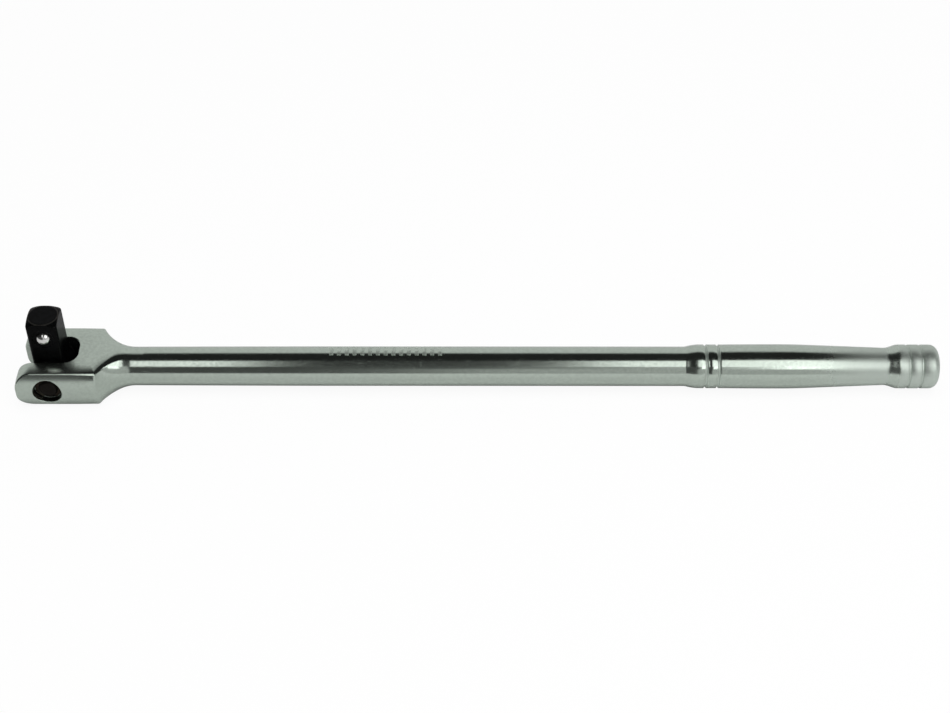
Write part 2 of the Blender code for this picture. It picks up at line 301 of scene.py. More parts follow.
def eased(outline: Outline, reach: float, steps: int = 4) -> Outline:
    """Soften an outline's inner corners with short curves.

    Args:
        outline: The points.
        reach: How far from a corner its curve may start.
        steps: Stretches in each curve.

    Returns:
        The softened outline.
    """
    most = 0.45                 # the largest share of a stretch that one curve takes
    soft = [outline[0]]
    for before, corner, after in zip(outline, outline[1:], outline[2:]):
        here = Vector(corner)
        back = Vector(before) - here
        ahead = Vector(after) - here
        inward = here + back.normalized() * min(reach, back.length * most)
        outward = here + ahead.normalized() * min(reach, ahead.length * most)
        for step in range(steps + 1):
            share = step / steps
            blend = inward.lerp(here, share).lerp(here.lerp(outward, share), share)
            soft.append((blend.x, blend.y))
    soft.append(outline[-1])
    return soft


def step_up(start: tuple[float, float], stop: tuple[float, float], skew: float, count: int) -> Outline:
    """Return a smooth S-shaped change of radius between two (distance, radius) points.

    Args:
        start: The first point, which is left out.
        stop: The last point.
        skew: Below 1 the radius changes early, above 1 late.
        count: How many points are returned.

    Returns:
        The points.
    """
    points = []
    for step in range(1, count + 1):
        share = step / count
        late = share ** skew
        blend = late * late * (3 - 2 * late)
        points.append((
            start[0] + (stop[0] - start[0]) * share, start[1] + (stop[1] - start[1]) * blend))
    return points


def divided(outline: Outline, longest: float, margin: float = 0.0004) -> Outline:
    """Split an outline's long stretches, so that smooth shading stays true along them.

    Args:
        outline: The points.
        longest: The longest stretch left whole.
        margin: How near to a long stretch's ends its first and last cuts are.

    Returns:
        The divided outline.
    """
    points = [outline[0]]
    for start, stop in zip(outline, outline[1:]):
        one = Vector(start)
        other = Vector(stop)
        length = (other - one).length
        if length > longest:
            count = int(length / longest) + 1
            edge = margin / length
            shares = [edge, *(step / count for step in range(1, count)), 1 - edge]
            points += [tuple(one.lerp(other, share)) for share in shares]
        points.append(stop)
    return points


def mirrored(half: Outline) -> Outline:
    """Return an outline whose second half is the first, reflected to negative distances."""
    return half + [(-along, radius) for along, radius in reversed(half)]


def finish_piece(
    work: bmesh.types.BMesh, name: str, material: Material, body: str,
    nodes: Sequence[str] = (), sharp: float | None = None,
) -> Object:
    """Turn a bmesh into a named piece that rides on its body.

    Args:
        work: The bmesh, which is freed.
        name: The piece's name.
        material: Its material.
        body: The CAD body it rides on.
        nodes: The CAD nodes it stands for.
        sharp: The angle in radians past which an edge stays sharp, if any does.

    Returns:
        The piece.
    """
    mesh = as_mesh(work, name)
    mesh.shade_smooth()
    if sharp is not None:
        mesh.set_sharp_from_angle(angle=sharp)
    mesh.materials.append(material)
    piece = in_scene(name, mesh)
    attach(piece, body)
    if nodes:
        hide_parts(*nodes)
    LOG.info("%s: %d faces on %s", name, len(mesh.polygons), body)
    return piece


def ease_edges(
    work: bmesh.types.BMesh, edges: Sequence[bmesh.types.BMEdge], width: float, steps: int,
) -> None:
    """Round edges off with a bevel of this width and so many steps."""
    bmesh.ops.bevel(
        work, geom=edges, offset=width, offset_type="OFFSET", affect="EDGES", segments=steps,
        profile=0.5, material=-1)


def dress_carving(piece: Object, distance: Field, deepest: float, end: float | None = None) -> None:
    """Give a carved piece its field's true normals and its edge attribute.

    Args:
        piece: The piece.
        distance: The field, whose second argument is 1 for rounded edges and 0 for sharp ones.
        deepest: How deep the roundest edge lies under its sharp corner.
        end: Where along the bar the carving ends, past which the mesh's own normals are right.
    """
    mesh = piece.data
    points = vertex_points(mesh)
    normals = np.array([vertex.normal for vertex in mesh.vertices], float)
    carved = np.full(len(points), True) if end is None else points[:, 0] < end
    slope = gradient(distance, points[carved])
    length = np.linalg.norm(slope, axis=1)
    least_length = 0.5
    sure = length > least_length
    chosen = np.flatnonzero(carved)[sure]
    normals[chosen] = slope[sure] / length[sure][:, None]
    worn = np.zeros(len(points), np.float32)
    worn[carved] = np.clip(-distance(points[carved], 0.0) / deepest, 0.0, 1.0)
    layer = mesh.attributes.new(EDGE, "FLOAT", "POINT")
    layer.data.foreach_set("value", worn)
    mesh.normals_split_custom_set_from_vertices(normals.tolist())


# ---------------------------------------------------------------- materials

class Sheet:
    """A node tree, with short ways to lay nodes on it."""

    def __init__(self, tree: NodeTree) -> None:
        """Keep the tree that nodes are laid on."""
        self.tree = tree

    def add(self, kind: str, inputs: dict[str | int, object] | None = None, **settings: object) -> Node:
        """Add a node.

        Args:
            kind: Its type, without "ShaderNode".
            inputs: For each input, a socket to link or a value to set.
            settings: The node's own properties.

        Returns:
            The node.
        """
        node = self.tree.nodes.new("ShaderNode" + kind)
        for name, value in settings.items():
            setattr(node, name, value)
        for name, value in (inputs or {}).items():
            self.feed(node.inputs[name], value)
        return node

    def feed(self, socket: NodeSocket, value: object) -> None:
        """Link a socket to an output, or set its value."""
        if isinstance(value, NodeSocket):
            self.tree.links.new(value, socket)
        else:
            socket.default_value = value

    def math(self, operation: str, one: object, other: object = 0.0, last: object = 0.0) -> NodeSocket:
        """Return the result of a Math node."""
        return self.add("Math", {0: one, 1: other, 2: last}, operation=operation).outputs[0]

    def times(self, one: object, other: object) -> NodeSocket:
        """Return the product of two values."""
        return self.math("MULTIPLY", one, other)

    def minus(self, one: object, other: object) -> NodeSocket:
        """Return the difference of two values."""
        return self.math("SUBTRACT", one, other)

    def plus(self, base: object, *parts: tuple[NodeSocket, object]) -> NodeSocket:
        """Return a base plus each part's value times its share."""
        total = base
        for value, share in parts:
            total = self.math("MULTIPLY_ADD", value, share, total)
        return total

    def ramp(
        self, value: NodeSocket, low: object, high: object, start: float = 0.0, stop: float = 1.0,
    ) -> NodeSocket:
        """Return a value's smooth change from start at low to stop at high."""
        return self.add("MapRange", {
            "Value": value, "From Min": low, "From Max": high, "To Min": start, "To Max": stop,
        }, interpolation_type="SMOOTHSTEP").outputs["Result"]

    def blend(self, share: object, one: object, other: object) -> NodeSocket:
        """Return a mix of two colours."""
        node = self.add("Mix", data_type="RGBA")
        self.feed(node.inputs["Factor"], share)
        self.feed(node.inputs[6], one)
        self.feed(node.inputs[7], other)
        return node.outputs[2]

    def noise(self, place: object, scale: object, detail: float = 2.0, rough: float = 0.5) -> NodeSocket:
        """Return a Noise node's value."""
        return self.add("TexNoise", {
            "Vector": place, "Scale": scale, "Detail": detail, "Roughness": rough}).outputs[0]

    def gray(self, value: object) -> NodeSocket:
        """Return a value as a colour."""
        return self.add("CombineXYZ", {0: value, 1: value, 2: value}).outputs[0]

    def dress(
        self, shader: Node, tone: NodeSocket, metal: object, rough: NodeSocket, height: NodeSocket,
        strength: float, depth: float,
    ) -> None:
        """Feed a Principled shader.

        Args:
            shader: The shader.
            tone: Its colour.
            metal: Its Metallic value.
            rough: Its roughness.
            height: The height of its relief.
            strength: The relief's strength.
            depth: The relief's depth.
        """
        bump = self.add("Bump", {"Strength": strength, "Distance": depth, "Height": height})
        self.feed(shader.inputs["Base Color"], tone)
        self.feed(shader.inputs["Metallic"], metal)
        self.feed(shader.inputs["Roughness"], rough)
        self.feed(shader.inputs["Normal"], bump.outputs["Normal"])

    def show(self, output: str, lit: Node, seen: Node) -> None:
        """Put out one shader to the camera, and another to every other ray."""
        mixed = self.add("MixShader", {
            0: self.add("LightPath").outputs["Is Camera Ray"], 1: lit.outputs[0], 2: seen.outputs[0]})
        self.feed(self.tree.nodes[output].inputs["Surface"], mixed.outputs[0])


def new_group(name: str, inputs: dict[str, str], outputs: dict[str, str]) -> tuple[Sheet, Node, Node]:
    """Start a shader node group.

    Args:
        name: The group's name.
        inputs: Its inputs' names, with their socket types.
        outputs: Its outputs' names, with their socket types.

    Returns:
        Its sheet, its input node and its output node.
    """
    tree = bpy.data.node_groups.new(name, "ShaderNodeTree")
    for title, kind in inputs.items():
        tree.interface.new_socket(name=title, in_out="INPUT", socket_type="NodeSocket" + kind)
    for title, kind in outputs.items():
        tree.interface.new_socket(name=title, in_out="OUTPUT", socket_type="NodeSocket" + kind)
    return Sheet(tree), tree.nodes.new("NodeGroupInput"), tree.nodes.new("NodeGroupOutput")


class Effects:
    """The shader node groups that several finishes share, each built once."""

    def __init__(self) -> None:
        """Build every group."""
        self.grain = self.build_grain()
        self.handling = self.build_handling()
        self.wear = self.build_wear()

    def build_grain(self) -> NodeTree:
        """Return fine surface grain: a height, and a slower mottling."""
        sheet, given, made = new_group(
            "fine_grain", {"Place": "Vector", "Scale": "Float"}, {"Height": "Float", "Mottle": "Float"})
        place = given.outputs["Place"]
        scale = given.outputs["Scale"]
        fine = sheet.noise(place, scale, detail=3.0)
        slow = sheet.noise(place, sheet.times(scale, 0.23))
        height = sheet.plus(sheet.times(fine, 0.7), (slow, 0.5))
        sheet.feed(made.inputs["Height"], height)
        sheet.feed(made.inputs["Mottle"], sheet.ramp(slow, low=0.35, high=0.65))
        return sheet.tree

    def build_handling(self) -> NodeTree:
        """Return marks of handling: soft smudges, and sparse fine scratches along the bar."""
        sheet, given, made = new_group(
            "handling_marks", {"Place": "Vector"}, {"Smudge": "Float", "Scratch": "Float"})
        place = given.outputs["Place"]
        smudge = sheet.noise(place, scale=55.0, detail=4.0, rough=0.6)
        sheet.feed(made.inputs["Smudge"], sheet.ramp(smudge, low=0.42, high=0.68))
        drawn = sheet.add("Mapping", {"Vector": place, "Scale": (0.06, 1.0, 1.0)}).outputs[0]
        lines = sheet.ramp(sheet.noise(drawn, scale=5200.0, detail=1.0), low=0.66, high=0.74)
        patches = sheet.ramp(sheet.noise(place, scale=120.0, detail=1.0), low=0.5, high=0.62)
        sheet.feed(made.inputs["Scratch"], sheet.times(lines, patches))
        return sheet.tree

    def build_wear(self) -> NodeTree:
        """Return wear on rounded edges, broken up by noise."""
        sheet, given, made = new_group(
            "edge_wear", {"Edge": "Float", "Place": "Vector", "Amount": "Float"}, {"Mask": "Float"})
        broken = sheet.noise(given.outputs["Place"], scale=900.0, detail=3.0, rough=0.6)
        level = sheet.plus(given.outputs["Edge"], (broken, 0.55))
        worn = sheet.ramp(level, low=0.62, high=1.05)
        sheet.feed(made.inputs["Mask"], sheet.times(worn, given.outputs["Amount"]))
        return sheet.tree

    def surface(self, sheet: Sheet, place: NodeSocket, scale: float) -> tuple[Node, Node]:
        """Lay the grain, at a scale, and the handling marks on a sheet."""
        grain = use_group(sheet, self.grain, {"Place": place, "Scale": scale})
        return grain, use_group(sheet, self.handling, {"Place": place})

    def worn_edges(self, sheet: Sheet, place: NodeSocket, amount: float) -> NodeSocket:
        """Return the mask of an amount of wear on the rounded edges."""
        edge = sheet.add("Attribute", attribute_name=EDGE).outputs["Fac"]
        inputs = {"Edge": edge, "Place": place, "Amount": amount}
        return use_group(sheet, self.wear, inputs).outputs["Mask"]


def start_finish(name: str) -> tuple[Material, Sheet, Node, NodeSocket]:
    """Start a material.

    Args:
        name: The material's name.

    Returns:
        The material, its sheet, its Principled shader and the object's coordinates.
    """
    material = bpy.data.materials.new(name)
    material.use_nodes = True
    sheet = Sheet(material.node_tree)
    shader = material.node_tree.nodes["Principled BSDF"]
    place = sheet.add("TexCoord").outputs["Object"]
    return material, sheet, shader, place


def use_group(sheet: Sheet, tree: NodeTree, inputs: dict[str, object]) -> Node:
    """Place a shader node group on a sheet, with its inputs fed."""
    node = sheet.tree.nodes.new("ShaderNodeGroup")
    node.node_tree = tree
    for name, value in inputs.items():
        sheet.feed(node.inputs[name], value)
    return node


@dataclass(frozen=True)
class SatinChrome:
    """Chrome plate: polished on the shaft, satin on the fork's flats, the grip and the end knob."""

    name: str = "satin_chrome_plate"
    color: Color = (0.56, 0.635, 0.565)
    dull_color: Color = (0.52, 0.59, 0.525)
    grip_color: Color = (0.63, 0.70, 0.64)
    # painted shade: the hinge bore and its mouth are darkened to near black
    bore_shade_color: Color = (0.012, 0.010, 0.008)
    polished: float = 0.135                             # roughness of each finish
    satin_head: float = 0.22
    satin_grip: float = 0.44
    neck: tuple[float, float] = (0.012, 0.024)          # where one finish turns into the next
    grip: tuple[float, float] = (0.308, 0.342)
    step_start: tuple[float, float] = (0.3445, 0.3460)
    step_stop: tuple[float, float] = (0.3495, 0.3510)
    step_shine: float = 0.75
    grooves: tuple[float, ...] = (0.2705, 0.2756)
    groove_half: tuple[float, float] = (0.0004, 0.0009)
    bore: tuple[float, float] = (0.0056, 0.00585)
    bore_rough: float = 0.2                             # what each effect adds to the roughness
    mottle_rough: float = 0.03
    smudge_rough: float = 0.02
    worn_rough: float = -0.08
    wear: float = 0.6
    smudge_tone: float = 0.2
    scratch_height: float = -0.8
    grain_scale: float = 3600.0
    grain_strength: float = 0.8
    grain_depth: float = 0.0000085

    def matt_share(self, sheet: Sheet, along: NodeSocket) -> NodeSocket:
        """Return where the plate is as matt as the grip: on it, on the knob and in its grooves.

        Args:
            sheet: The material's sheet.
            along: The distance along the bar.

        Returns:
            1 where it is matt, 0 where it is polished.
        """
        on_step = sheet.times(
            sheet.ramp(along, *self.step_start), sheet.ramp(along, *self.step_stop, 1.0, 0.0))
        share = sheet.times(
            sheet.ramp(along, *self.grip), sheet.plus(1.0, (on_step, -self.step_shine)))
        for groove in self.grooves:
            off = sheet.math("ABSOLUTE", sheet.minus(along, groove))
            share = sheet.math("MAXIMUM", share, sheet.ramp(off, *self.groove_half, 1.0, 0.0))
        return share

    def build(self, effects: Effects) -> Material:
        """Return the material."""
        material, sheet, shader, place = start_finish(self.name)
        split = sheet.add("SeparateXYZ", {"Vector": place})
        along = sheet.minus(split.outputs["X"], HINGE.x)
        up = sheet.minus(split.outputs["Z"], HINGE.z)
        reach = sheet.math("SQRT", sheet.plus(sheet.times(along, along), (up, up)))
        # painted shade: within this reach of the hinge axis the plate is darkened to near black, and
        # made rougher
        in_shaded_bore = sheet.ramp(reach, *self.bore, 1.0, 0.0)
        matt = self.matt_share(sheet, along)
        grain, marks = effects.surface(sheet, place, self.grain_scale)
        mottle, smudge = grain.outputs["Mottle"], marks.outputs["Smudge"]
        rough = sheet.plus(
            self.satin_head,
            (sheet.ramp(along, *self.neck), self.polished - self.satin_head),
            (matt, self.satin_grip - self.polished),
            (in_shaded_bore, self.bore_rough), (mottle, self.mottle_rough), (smudge, self.smudge_rough),
            (effects.worn_edges(sheet, place, self.wear), self.worn_rough))
        tone = sheet.blend(mottle, (*self.color, 1.0), (*self.dull_color, 1.0))
        tone = sheet.blend(matt, tone, (*self.grip_color, 1.0))
        smudged = sheet.times(smudge, self.smudge_tone)
        tone = sheet.blend(smudged, tone, (*self.dull_color, 1.0))
        tone = sheet.blend(in_shaded_bore, tone, (*self.bore_shade_color, 1.0))
        height = sheet.plus(grain.outputs["Height"], (marks.outputs["Scratch"], self.scratch_height))
        sheet.dress(shader, tone, 1.0, rough, height, self.grain_strength, self.grain_depth)
        return material


@dataclass(frozen=True)
class BlackPhosphate:
    """Oiled black phosphate on steel, worn a little lighter along its edges."""

    color: Color = (0.0006, 0.0007, 0.0007)
    mottled: Color = (0.0018, 0.0020, 0.0022)
    worn: Color = (0.045, 0.043, 0.038)
    specular: float = 0.05
    roughness: float = 0.30
    smudge_rough: float = 0.12
    worn_rough: float = -0.10
    worn_metal: float = 0.8
    wear: float = 0.5
    grain_scale: float = 2600.0
    grain_strength: float = 0.8
    grain_depth: float = 0.000022

    def build(self, effects: Effects) -> Material:
        """Return the material."""
        material, sheet, shader, place = start_finish("black_phosphate_coat")
        grain, marks = effects.surface(sheet, place, self.grain_scale)
        wear = effects.worn_edges(sheet, place, self.wear)
        tone = sheet.blend(grain.outputs["Mottle"], (*self.color, 1.0), (*self.mottled, 1.0))
        tone = sheet.blend(wear, tone, (*self.worn, 1.0))
        rough = sheet.plus(
            self.roughness, (marks.outputs["Smudge"], self.smudge_rough), (wear, self.worn_rough))
        metal = sheet.times(wear, self.worn_metal)
        height = grain.outputs["Height"]
        sheet.dress(shader, tone, metal, rough, height, self.grain_strength, self.grain_depth)
        shader.inputs["Specular IOR Level"].default_value = self.specular
        return material


@dataclass(frozen=True)
class SmallPartSteel:
    """Bare or oiled steel of a small part."""

    name: str
    color: Color
    stain: Color
    roughness: float
    mottle_rough: float = 0.10
    grain_scale: float = 3000.0
    grain_strength: float = 0.7
    grain_depth: float = 0.000012

    def build(self, effects: Effects) -> Material:
        """Return the material."""
        material, sheet, shader, place = start_finish(self.name)
        grain, marks = effects.surface(sheet, place, self.grain_scale)
        tone = sheet.blend(marks.outputs["Smudge"], (*self.color, 1.0), (*self.stain, 1.0))
        rough = sheet.plus(self.roughness, (grain.outputs["Mottle"], self.mottle_rough))
        height = grain.outputs["Height"]
        sheet.dress(shader, tone, 1.0, rough, height, self.grain_strength, self.grain_depth)
        return material


# -------------------------------------------------------------------- pieces

@dataclass
class ForgedHandle:
    """The handle: fork head, neck, shaft, grip and end knob, forged and turned in one piece."""

    front: float = HINGE.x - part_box("handle")[0].x
    length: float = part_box("handle")[1].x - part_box("handle")[0].x
    head_radius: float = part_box("handle")[1].y
    half_head: float = HINGE.z
    front_corner: float = 0.0068
    crown_reach: float = 0.0043
    crown: float = 36.0
    slot_half: float = 0.0077
    slot_end: float = 0.0117
    slot_corner: float = 0.0055
    flare_radius: float = 0.0161
    flare_end: float = 0.0343
    turned_edge: float = 0.0005
    slot_edge: float = 0.0004
    bore_edge: float = 0.0002
    mouth_edge: float = 0.00032
    ear_edge: float = 0.00045
    deepest_edge: float = 0.00016
    crease: float = 0.0010
    crease_start: float = 0.0110
    crease_blend: float = 0.0110
    neck_radius: float = 0.00803
    shaft_radius: float = 0.0082
    shaft_full: float = 0.102
    bore_radius: float = 0.00407
    mouth_radius: float = 0.0059
    mouth_floor: float = 0.0125
    pocket_radius: float = 0.00315
    pocket_end: float = 0.0270
    head_end: float = 0.0380
    pitch: float = 0.00033
    steps: int = 144
    longest_ring: float = 0.0055
    grip_start: float = 0.2621
    grip_front: float = 0.2681
    grip_front_radius: float = 0.00908
    grip_full: float = 0.2925
    grip_radius: float = 0.0092
    taper_start: float = 0.3068
    waist: float = 0.3444
    waist_radius: float = 0.00774
    knob_start: float = 0.3505
    knob_radius: float = 0.0091
    front_grooves: tuple[float, float] = (0.2705, 0.2756)
    knob_grooves: tuple[float, float] = (0.3542, 0.3594)
    groove_half: float = 0.00065
    groove_wall: float = 0.62
    groove_depth: float = 0.0005
    groove_steps: int = 12
    step_points: int = 26
    front_skew: float = 0.6
    knob_skew: float = 1.15
    end_corner: float = 0.0034
    end_crown: float = 0.0003

    def neck_at(self, distance: Values) -> Values:
        """Return the neck's radius, which swells slowly from the flare to the shaft."""
        swell = (self.shaft_radius - self.neck_radius) / (self.shaft_full - self.flare_end)
        return self.neck_radius + swell * (distance - self.flare_end)

    def head(self, points: Points, ease: float = 1.0) -> Values:
        """Return distances to the fork head and neck.

        Args:
            points: Places from the hinge axis.
            ease: 1 for rounded edges, 0 for sharp ones.

        Returns:
            Distances, negative inside the metal.
        """
        x, y, z = points.T
        radius = np.hypot(y, z)
        sweep = self.neck_radius + self.flare_radius
        flare = self.flare_radius - np.hypot(x - self.flare_end, radius - sweep)
        turned = np.where(x < self.flare_end, flare, radius - self.neck_at(x))
        body = round_off(radius - self.head_radius, turned, self.turned_edge * ease)
        corner = self.front_corner
        outer = np.clip(body + self.crown_reach, 0.0, self.crown_reach)
        fall = self.crown * outer * outer
        side = rounded_slab(corner - self.front - x, abs(z) + fall - self.half_head + corner, corner)
        side = np.maximum(side, -self.front - x)
        share = np.clip((x - self.crease_start) / self.crease_blend, 0.0, 1.0)
        edge = (self.ear_edge + (self.crease - self.ear_edge) * share) * ease
        body = round_off(body, side, edge)
        return self.opened(body, points, ease)

    def opened(self, body: Values, points: Points, ease: float) -> Values:
        """Cut the slot, the hinge bore with its mouths, and the friction ball's pocket."""
        x, y, z = points.T
        corner = self.slot_corner
        slot = rounded_slab(x - self.slot_end + corner, abs(y) - self.slot_half + corner, corner)
        body = round_off(body, -slot, self.slot_edge * ease)
        reach = np.hypot(x, z)
        body = round_off(body, self.bore_radius - reach, self.bore_edge * ease)
        mouth = np.maximum(reach - self.mouth_radius, self.mouth_floor - abs(y))
        body = round_off(body, -mouth, self.mouth_edge * ease)
        pocket = np.maximum(np.hypot(y, z) - self.pocket_radius, x - self.pocket_end)
        pocket = np.maximum(pocket, self.slot_end - 2 * self.slot_corner - x)
        return round_off(body, -pocket, self.bore_edge * ease)

    def groove(self, middle: float, radius: float) -> Outline:
        """Return a shallow turned groove with soft lips."""
        points = []
        for step in range(self.groove_steps + 1):
            share = 2 * step / self.groove_steps - 1
            wall = min(1.0, max(0.0, (1 - abs(share)) / self.groove_wall))
            drop = wall * wall * (3 - 2 * wall)
            points.append((middle + share * self.groove_half, radius - self.groove_depth * drop))
        return points

    def bar_outline(self) -> Outline:
        """Return the outline behind the head as (distance, radius) points, front to back."""
        start = self.head_end + self.pitch
        shaft = [
            (start, self.neck_at(start)), (self.shaft_full, self.shaft_radius),
            (self.grip_start, self.shaft_radius)]
        grip_front = (self.grip_front, self.grip_front_radius)
        outline = eased(shaft, reach=0.004)
        outline += step_up(shaft[-1], grip_front, self.front_skew, self.step_points)
        for middle in self.front_grooves:
            outline += self.groove(middle, self.grip_front_radius)
        grip = [outline[-1], (self.grip_full, self.grip_radius), (self.taper_start, self.grip_radius)]
        grip.append((self.waist, self.waist_radius))
        outline += eased(grip, reach=0.006, steps=8)[1:]
        knob = (self.knob_start, self.knob_radius)
        outline += step_up(grip[-1], knob, self.knob_skew, self.step_points)
        for middle in self.knob_grooves:
            outline += self.groove(middle, self.knob_radius)
        far = self.length - self.front
        corner = (far - self.end_crown - self.end_corner, self.knob_radius - self.end_corner)
        outline += arc(corner, self.end_corner, pi / 2, 0.0, count=14)
        outline += [(far - self.end_crown * 0.25, self.end_corner * 0.8), (far, 0.0)]
        return divided(outline, self.longest_ring)

    def build(self, material: Material) -> Object:
        """Carve the head, turn the bar, join them and return the piece."""
        work = carve(frame["nodes"]["handle"], self.head, self.pitch, self.head_end)
        rim = [edge for edge in work.edges if edge.is_boundary]
        bar = as_mesh(spun(self.bar_outline(), Axis.ALONG_BAR, self.steps), "bar")
        work.from_mesh(bar)
        bpy.data.meshes.remove(bar)
        known = set(rim)
        ring = [edge for edge in work.edges if edge.is_boundary and edge not in known]
        bmesh.ops.bridge_loops(work, edges=rim + ring)
        bmesh.ops.recalc_face_normals(work, faces=work.faces)
        piece = finish_piece(work, "handle_forging", material, "handle", ["handle"])
        dress_carving(piece, self.head, self.deepest_edge, self.head_end)
        return piece


@dataclass
class DriveTang:
    """The drive: a square on a round knuckle, with the pin's bore and the detent's."""

    half_square: float = 0.00635
    square_edge: float = 0.0013
    lead_height: float = 0.0021
    lead_depth: float = 0.00025
    height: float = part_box("drive_tang")[1].z - HINGE.z
    knuckle_radius: float = 0.0085
    knuckle_half: float = 0.0075
    knuckle_chamfer: float = 0.0013
    end_radius: float = 0.0061
    end_run: float = 0.0064
    end_fall: float = 0.0036
    end_edge: float = 0.0004
    trim_edge: float = 0.0003
    knuckle_edge: float = 0.0002
    chamfer_edge: float = 0.0004
    fillet: float = 0.0006
    bore_radius: float = 0.00407
    bore_edge: float = 0.0003
    detent_below: float = 0.0078
    recess_radius: float = 0.00435
    recess_depth: float = 0.0004
    recess_edge: float = 0.00025
    lip_radius: float = 0.0030
    lip_depth: float = 0.0010
    detent_bore: float = 0.00335
    detent_top: float = 0.0007
    detent_floor: float = 0.0113
    detent_edge: float = 0.00012
    deepest_edge: float = 0.00012
    pitch: float = 0.00024

    def solid(self, points: Points, ease: float = 1.0) -> Values:
        """Return distances to the tang.

        Args:
            points: Places from the hinge axis.
            ease: 1 for rounded edges, 0 for sharp ones.

        Returns:
            Distances, negative inside the metal.
        """
        x, y, z = points.T
        edge = self.square_edge
        led_in = np.clip((z - self.height) / self.lead_height + 1, 0.0, 1.0)
        inner = self.half_square - edge
        shank = rounded_slab(abs(x) - inner, abs(y) - inner + self.lead_depth * led_in, edge)
        shank = round_off(shank, self.turned_end(points, ease), self.trim_edge * ease)
        shank = np.maximum(shank, -z)
        reach = np.hypot(x, z)
        half = self.knuckle_half
        rim = self.knuckle_radius + half - self.knuckle_chamfer
        knuckle = round_off(reach - self.knuckle_radius, abs(y) - half, self.knuckle_edge * ease)
        chamfer = (reach + abs(y) - rim) / sqrt(2)
        knuckle = round_off(knuckle, chamfer, self.chamfer_edge * ease)
        body = -round_off(-shank, -knuckle, self.fillet * ease)
        body = round_off(body, self.bore_radius - reach, self.bore_edge * ease)
        out = np.hypot(x, z - self.height + self.detent_below)
        depth = y + self.half_square
        recess = np.maximum(out - self.recess_radius, depth - self.recess_depth)
        body = round_off(body, -recess, self.recess_edge * ease)
        lip = np.maximum(out - self.lip_radius, depth - self.lip_depth)
        deep = np.maximum(self.detent_top - depth, depth - self.detent_floor)
        pocket = np.maximum(out - self.detent_bore, deep)
        return round_off(body, -np.minimum(lip, pocket), self.detent_edge * ease)

    def turned_end(self, points: Points, ease: float) -> Values:
        """Return distances to the cone and flat that trim the square's end."""
        x, y, z = points.T
        above = z - self.height
        slope = (np.hypot(x, y) - self.end_radius) * self.end_fall + above * self.end_run
        cone = slope / hypot(self.end_run, self.end_fall)
        return round_off(cone, above, self.end_edge * ease)

    def build(self, material: Material) -> Object:
        """Carve the tang and return the piece."""
        work = carve(frame["nodes"]["drive_tang"], self.solid, self.pitch)
        bmesh.ops.recalc_face_normals(work, faces=work.faces)
        piece = finish_piece(work, "tang_forging", material, "drive_tang", ["drive_tang"])
        dress_carving(piece, self.solid, self.deepest_edge)
        return piece


@dataclass
class HingeHardware:
    """The hinge pin and the open ring that keeps it at each end."""

    pin_radius: float = 0.0040
    pin_end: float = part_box("hinge_pin")[1].y
    chamfer: float = 0.0006
    ring_middle: float = 0.01305
    groove_half: float = 0.0005
    groove_radius: float = 0.00365
    ring_inner: float = 0.00375
    ring_outer: float = 0.0053
    ring_gap: float = radians(58)
    ring_steps: int = 60
    ring_edge: float = 0.00014
    sharp: float = radians(50)

    def build_pin(self, material: Material) -> Object:
        """Turn the pin and return the piece."""
        end = self.pin_end
        half = [
            (end, 0.0),
            (end, self.pin_radius - self.chamfer),
            (end - self.chamfer, self.pin_radius),
            (self.ring_middle + self.groove_half, self.pin_radius),
            (self.ring_middle + self.groove_half, self.groove_radius),
            (self.ring_middle - self.groove_half, self.groove_radius),
            (self.ring_middle - self.groove_half, self.pin_radius),
        ]
        work = spun(mirrored(eased(half, 0.00008, 3)), Axis.ACROSS_FORK, 72)
        return finish_piece(
            work, "hinge_pin_turned", material, "handle", ["hinge_pin"], radians(40))

    def build_ring(self, node: str, name: str, material: Material) -> Object:
        """Cut one ring from plate, ease its edges and return the piece.

        Args:
            node: The CAD node it stands for.
            name: The piece's name.
            material: Its material.

        Returns:
            The piece.
        """
        low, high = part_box(node)
        start = self.ring_gap / 2 - pi / 2
        stop = 1.5 * pi - self.ring_gap / 2
        outline = arc((0.0, 0.0), self.ring_outer, start, stop, self.ring_steps)
        outline += arc((0.0, 0.0), self.ring_inner, stop, start, self.ring_steps)
        work = bmesh.new()
        corners = [work.verts.new((HINGE.x + u, low.y, HINGE.z + v)) for u, v in outline]
        sheet = work.faces.new(corners)
        raised = bmesh.ops.extrude_face_region(work, geom=[sheet])["geom"]
        moved = [part for part in raised if isinstance(part, bmesh.types.BMVert)]
        bmesh.ops.translate(work, verts=moved, vec=(0.0, high.y - low.y, 0.0))
        bmesh.ops.recalc_face_normals(work, faces=work.faces)
        rims = [edge for edge in work.edges if edge.calc_face_angle(0.0) > self.sharp]
        ease_edges(work, rims, self.ring_edge, 3)
        return finish_piece(work, name, material, "handle", [node], self.sharp)


